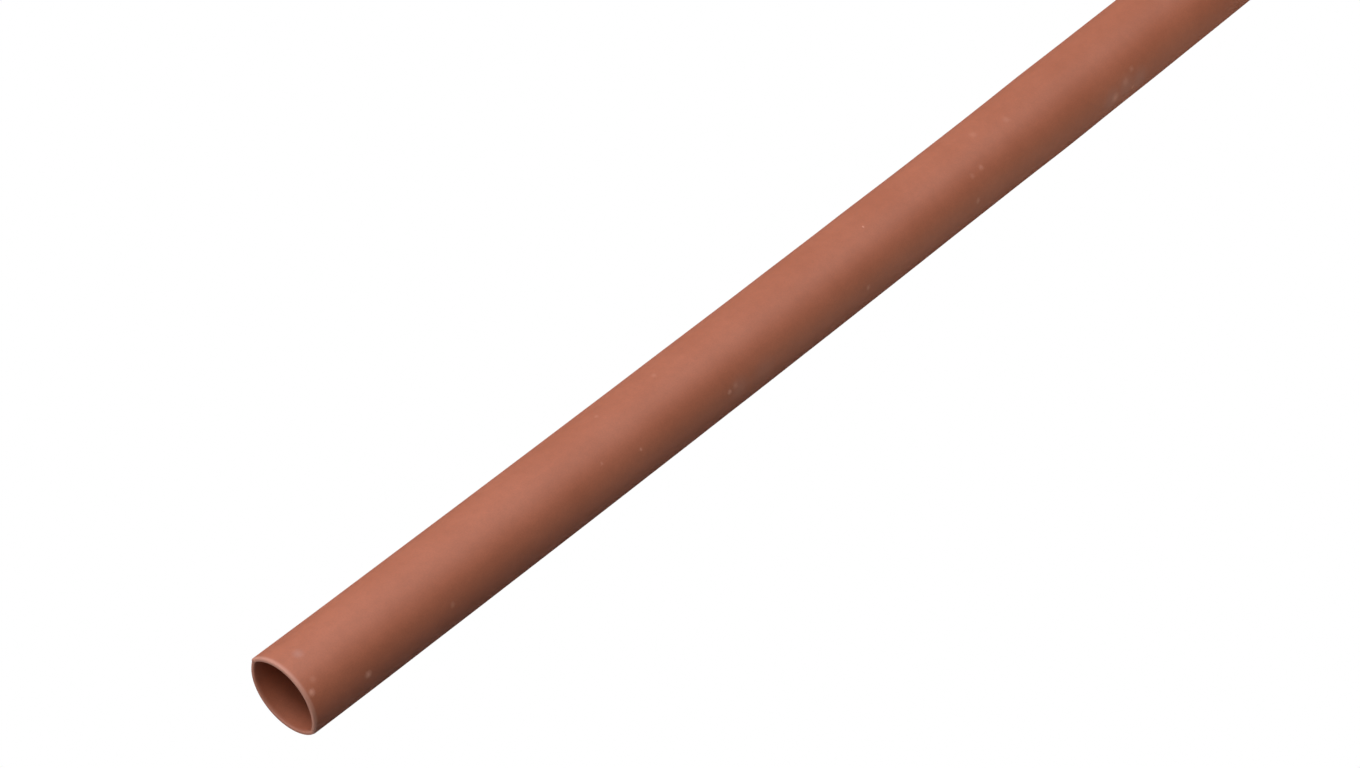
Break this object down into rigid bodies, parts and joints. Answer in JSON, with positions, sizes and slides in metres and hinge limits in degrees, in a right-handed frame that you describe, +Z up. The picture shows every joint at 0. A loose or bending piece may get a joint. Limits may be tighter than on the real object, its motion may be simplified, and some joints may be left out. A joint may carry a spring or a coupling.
{
  "type": "heat shrink tube",
  "caption": "Cut length of thin-walled brown heat shrink tubing before shrinking, lens-shaped in section from flat storage, open at both ends.",
  "frame": {"origin": "centre of the overall box on the floor plane, under the middle of the tube's lower wall", "axes": "+X along the tube from the cut end nearer the camera in the picture to the other, +Y across it from crease to crease, +Z up"},
  "size_m": [0.1524, 0.0088, 0.0066],
  "materials": {
    "tube_wall": "matte, fine grained, crosslinked polyolefin"
  },
  "bodies": {
    "root": {"tube": "tube_wall"}
  },
  "joints": []
}
